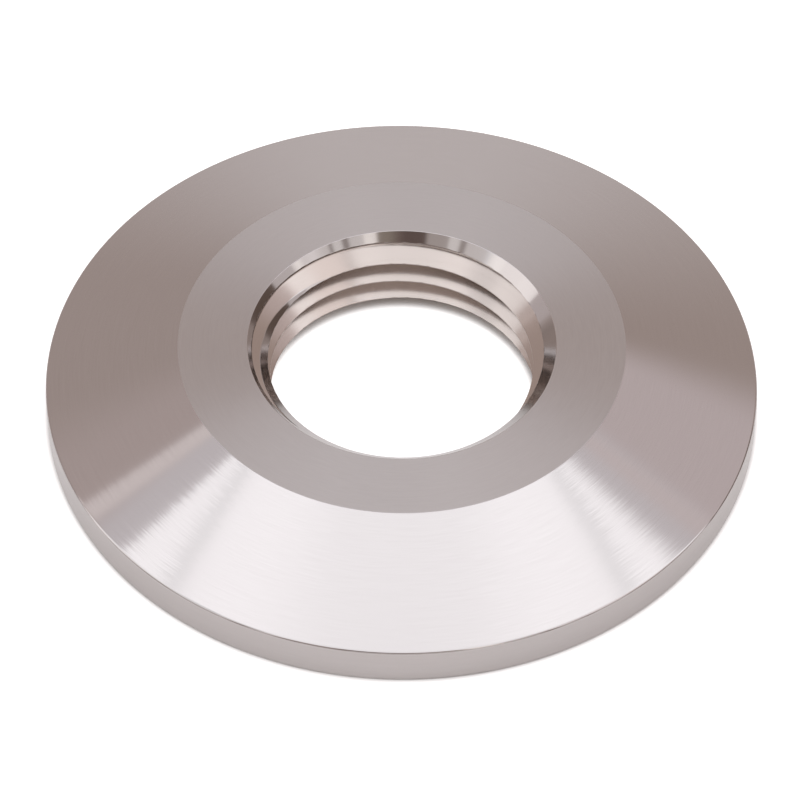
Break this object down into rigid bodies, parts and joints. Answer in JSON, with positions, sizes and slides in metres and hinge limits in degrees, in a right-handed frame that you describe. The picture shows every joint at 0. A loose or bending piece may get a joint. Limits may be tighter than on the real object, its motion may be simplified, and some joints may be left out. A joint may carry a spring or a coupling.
{
  "type": "sanitary clamp end cap",
  "caption": "Round turned steel clamp flange cap with a tapered shoulder, a gasket groove in its sealing face and a threaded port through its middle.",
  "frame": {"origin": "centre of the sealing face, on the plane that the cap rests on", "axes": "+Z along the thread's axis, from the sealing face towards the tapered side and the thread's mouth; X and Y are free, as the cap is round"},
  "size_m": [0.0506, 0.0506, 0.0063],
  "materials": {
    "stainless_steel": "turned"
  },
  "bodies": {
    "root": {"end_cap": "stainless_steel"}
  },
  "joints": []
}
